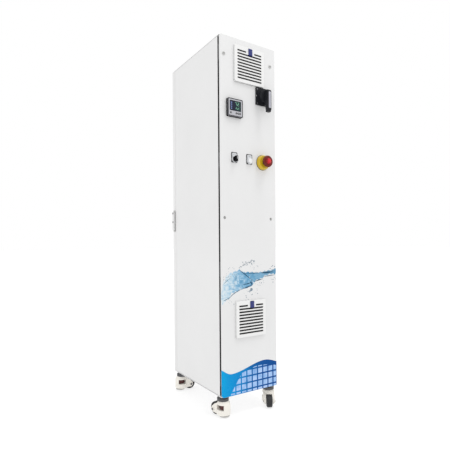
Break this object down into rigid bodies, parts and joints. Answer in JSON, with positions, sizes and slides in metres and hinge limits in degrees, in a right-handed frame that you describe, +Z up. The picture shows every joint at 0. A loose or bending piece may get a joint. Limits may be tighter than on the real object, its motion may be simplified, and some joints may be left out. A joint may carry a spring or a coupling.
{
  "type": "salt chlorine generator",
  "caption": "Tall slim sheet-metal cabinet on levelling casters, with vent grilles, controller, rotary main switch, emergency stop and side service door.",
  "frame": {"origin": "on the floor, below the middle of the whole object's outline", "axes": "+Z up, front panel faces -Y, service door on the -X side"},
  "size_m": [0.2972, 0.52, 1.526],
  "materials": {
    "cabinet_white": "light grey-white textured powder coat",
    "frame_white": "light grey powder coat",
    "hinge_zinc": "dark zinc plated",
    "steel": "zinc plated steel",
    "louvre_white": "light moulded ABS",
    "tab_blue": "dark blue moulded plastic",
    "filter_mat": "dark pressed filter fleece",
    "black_plastic": "black moulded plastic",
    "handle_grey": "dark grey moulded plastic",
    "screen": "dark display window",
    "button_white": "white translucent cap",
    "stop_yellow": "yellow moulded plastic",
    "stop_red": "glossy red moulded plastic",
    "caster_ivory": "ivory painted die casting",
    "wheel_black": "black nylon tread",
    "dial_red": "dark red moulded plastic",
    "pad_rubber": "light rubber pad on a steel spindle",
    "gear_grey": "light grey device housings",
    "supply_alu": "finned aluminium housing",
    "cell_clear": "clear acrylic cell tube",
    "titanium": "coated titanium plates",
    "pvc_grey": "grey PVC pressure pipe",
    "gasket": "black foam rubber"
  },
  "bodies": {
    "cabinet": {"base_tray": "cabinet_white", "top_cover": "cabinet_white", "right_panel": "cabinet_white", "rear_panel": "cabinet_white", "front_panel": "cabinet_white", "corner_posts": "frame_white", "door_gasket": "gasket", "frame_hinges": "hinge_zinc", "latch_base": "steel", "panel_screws": "steel", "filter_frames": "louvre_white", "filter_mats": "filter_mat", "fan_frame": "black_plastic", "controller_case": "black_plastic", "controller_screen": "screen", "switch_plate": "handle_grey", "switch_body": "gear_grey", "operator_bodies": "black_plastic", "estop_collar": "stop_yellow", "caster_stems": "steel", "mounting_plate": "steel", "control_gear": "gear_grey", "power_supply": "supply_alu", "cell_housing": "cell_clear", "electrode_stack": "titanium", "water_pipes": "pvc_grey", "cable_gland": "black_plastic"},
    "door": {"side_door": "cabinet_white", "door_hinges": "hinge_zinc"},
    "latch": {"latch_lever": "cabinet_white"},
    "upper_grille": {"upper_cover": "louvre_white"},
    "upper_tab": {"upper_latch": "tab_blue"},
    "lower_grille": {"lower_cover": "louvre_white"},
    "lower_tab": {"lower_latch": "tab_blue"},
    "rotor": {"fan_rotor": "black_plastic"},
    "menu_key": {"key_menu": "black_plastic"},
    "back_key": {"key_back": "black_plastic"},
    "down_key": {"key_down": "black_plastic"},
    "up_key": {"key_up": "black_plastic"},
    "main_handle": {"switch_handle": "handle_grey"},
    "selector": {"selector_knob": "black_plastic"},
    "push_button": {"push_cap": "button_white"},
    "stop_plunger": {"estop_plunger": "black_plastic"},
    "stop_head": {"estop_head": "stop_red"},
    "front_left_housing_body": {"front_left_housing": "caster_ivory"},
    "front_left_wheel_body": {"front_left_wheel": "wheel_black"},
    "front_left_dial_body": {"front_left_dial": "dial_red"},
    "front_left_foot_body": {"front_left_foot": "pad_rubber"},
    "front_right_housing_body": {"front_right_housing": "caster_ivory"},
    "front_right_wheel_body": {"front_right_wheel": "wheel_black"},
    "front_right_dial_body": {"front_right_dial": "dial_red"},
    "front_right_foot_body": {"front_right_foot": "pad_rubber"},
    "rear_left_housing_body": {"rear_left_housing": "caster_ivory"},
    "rear_left_wheel_body": {"rear_left_wheel": "wheel_black"},
    "rear_left_dial_body": {"rear_left_dial": "dial_red"},
    "rear_left_foot_body": {"rear_left_foot": "pad_rubber"},
    "rear_right_housing_body": {"rear_right_housing": "caster_ivory"},
    "rear_right_wheel_body": {"rear_right_wheel": "wheel_black"},
    "rear_right_dial_body": {"rear_right_dial": "dial_red"},
    "rear_right_foot_body": {"rear_right_foot": "pad_rubber"}
  },
  "joints": [
    {"name": "side_door_swing", "type": "hinge", "parent": "cabinet", "child": "door", "pos_m": [-0.13409, -0.198, 0.806], "axis": [0, 0, 1], "range_deg": [0, 95]},
    {"name": "latch_turn", "type": "hinge", "parent": "cabinet", "child": "latch", "pos_m": [-0.14459, 0.2075, 0.844], "axis": [-1, 0, 0], "range_deg": [0, 90]},
    {"name": "upper_grille_open", "type": "hinge", "parent": "cabinet", "child": "upper_grille", "pos_m": [0.00141, -0.2146, 1.355], "axis": [1, 0, 0], "range_deg": [0, 90]},
    {"name": "upper_tab_press", "type": "slide", "parent": "upper_grille", "child": "upper_tab", "axis": [0, 0, -1], "range_m": [0, 0.003], "stiffness_N_per_m": 500},
    {"name": "lower_grille_open", "type": "hinge", "parent": "cabinet", "child": "lower_grille", "pos_m": [0.00141, -0.2146, 0.319], "axis": [1, 0, 0], "range_deg": [0, 90]},
    {"name": "lower_tab_press", "type": "slide", "parent": "lower_grille", "child": "lower_tab", "axis": [0, 0, -1], "range_m": [0, 0.003], "stiffness_N_per_m": 500},
    {"name": "fan_spin", "type": "hinge", "parent": "cabinet", "child": "rotor", "pos_m": [0.00141, -0.176, 0.389], "axis": [0, 1, 0], "continuous": true},
    {"name": "menu_key_press", "type": "slide", "parent": "cabinet", "child": "menu_key", "axis": [0, 1, 0], "range_m": [0, 0.0006], "stiffness_N_per_m": 600},
    {"name": "back_key_press", "type": "slide", "parent": "cabinet", "child": "back_key", "axis": [0, 1, 0], "range_m": [0, 0.0006], "stiffness_N_per_m": 600},
    {"name": "down_key_press", "type": "slide", "parent": "cabinet", "child": "down_key", "axis": [0, 1, 0], "range_m": [0, 0.0006], "stiffness_N_per_m": 600},
    {"name": "up_key_press", "type": "slide", "parent": "cabinet", "child": "up_key", "axis": [0, 1, 0], "range_m": [0, 0.0006], "stiffness_N_per_m": 600},
    {"name": "main_switch_turn", "type": "hinge", "parent": "cabinet", "child": "main_handle", "pos_m": [0.07241, -0.23, 1.312], "axis": [0, 1, 0], "range_deg": [0, 90]},
    {"name": "selector_turn", "type": "hinge", "parent": "cabinet", "child": "selector", "pos_m": [-0.07359, -0.22, 1.036], "axis": [0, 1, 0], "range_deg": [-45, 45]},
    {"name": "push_button_press", "type": "slide", "parent": "cabinet", "child": "push_button", "axis": [0, 1, 0], "range_m": [0, 0.003], "stiffness_N_per_m": 600},
    {"name": "emergency_stop_press", "type": "slide", "parent": "cabinet", "child": "stop_plunger", "axis": [0, 1, 0], "range_m": [0, 0.0055], "stiffness_N_per_m": 2000},
    {"name": "emergency_stop_twist", "type": "hinge", "parent": "stop_plunger", "child": "stop_head", "pos_m": [0.06991, -0.244, 1.036], "axis": [0, 1, 0], "range_deg": [0, 45], "stiffness_Nm_per_rad": 0.05},
    {"name": "front_left_swivel", "type": "hinge", "parent": "cabinet", "child": "front_left_housing_body", "pos_m": [-0.11559, -0.178, 0.06], "axis": [0, 0, 1], "continuous": true},
    {"name": "front_left_wheel_spin", "type": "hinge", "parent": "front_left_housing_body", "child": "front_left_wheel_body", "pos_m": [-0.12219, -0.14058, 0.025], "axis": [-0.9848, -0.1736, 0], "continuous": true},
    {"name": "front_left_dial_turn", "type": "hinge", "parent": "front_left_housing_body", "child": "front_left_dial_body", "pos_m": [-0.11403, -0.18686, 0.042], "axis": [0, 0, 1], "range_deg": [0, 1440]},
    {"name": "front_left_foot_lower", "type": "slide", "parent": "front_left_housing_body", "child": "front_left_foot_body", "axis": [0, 0, -1], "range_m": [0, 0.0121]},
    {"name": "front_right_swivel", "type": "hinge", "parent": "cabinet", "child": "front_right_housing_body", "pos_m": [0.11841, -0.178, 0.06], "axis": [0, 0, 1], "continuous": true},
    {"name": "front_right_wheel_spin", "type": "hinge", "parent": "front_right_housing_body", "child": "front_right_wheel_body", "pos_m": [0.09771, -0.20987, 0.025], "axis": [0.8387, -0.5446, 0], "continuous": true},
    {"name": "front_right_dial_turn", "type": "hinge", "parent": "front_right_housing_body", "child": "front_right_dial_body", "pos_m": [0.12331, -0.17045, 0.042], "axis": [0, 0, 1], "range_deg": [0, 1440]},
    {"name": "front_right_foot_lower", "type": "slide", "parent": "front_right_housing_body", "child": "front_right_foot_body", "axis": [0, 0, -1], "range_m": [0, 0.0121]},
    {"name": "rear_left_swivel", "type": "hinge", "parent": "cabinet", "child": "rear_left_housing_body", "pos_m": [-0.11559, 0.188, 0.06], "axis": [0, 0, 1], "continuous": true},
    {"name": "rear_left_wheel_spin", "type": "hinge", "parent": "rear_left_housing_body", "child": "rear_left_wheel_body", "pos_m": [-0.07764, 0.18601, 0.025], "axis": [0.0523, 0.9986, 0], "continuous": true},
    {"name": "rear_left_dial_turn", "type": "hinge", "parent": "rear_left_housing_body", "child": "rear_left_dial_body", "pos_m": [-0.12458, 0.18847, 0.042], "axis": [0, 0, 1], "range_deg": [0, 1440]},
    {"name": "rear_left_foot_lower", "type": "slide", "parent": "rear_left_housing_body", "child": "rear_left_foot_body", "axis": [0, 0, -1], "range_m": [0, 0.0121]},
    {"name": "rear_right_swivel", "type": "hinge", "parent": "cabinet", "child": "rear_right_housing_body", "pos_m": [0.11841, 0.188, 0.06], "axis": [0, 0, 1], "continuous": true},
    {"name": "rear_right_wheel_spin", "type": "hinge", "parent": "rear_right_housing_body", "child": "rear_right_wheel_body", "pos_m": [0.10541, 0.22371, 0.025], "axis": [-0.9397, -0.342, 0], "continuous": true},
    {"name": "rear_right_dial_turn", "type": "hinge", "parent": "rear_right_housing_body", "child": "rear_right_dial_body", "pos_m": [0.12149, 0.17954, 0.042], "axis": [0, 0, 1], "range_deg": [0, 1440]},
    {"name": "rear_right_foot_lower", "type": "slide", "parent": "rear_right_housing_body", "child": "rear_right_foot_body", "axis": [0, 0, -1], "range_m": [0, 0.0121]}
  ],
  "couplings": [
    {"joint": "front_left_foot_lower", "follows": "front_left_dial_turn", "m_per_rad": 0.00047746},
    {"joint": "front_right_foot_lower", "follows": "front_right_dial_turn", "m_per_rad": 0.00047746},
    {"joint": "rear_left_foot_lower", "follows": "rear_left_dial_turn", "m_per_rad": 0.00047746},
    {"joint": "rear_right_foot_lower", "follows": "rear_right_dial_turn", "m_per_rad": 0.00047746}
  ]
}
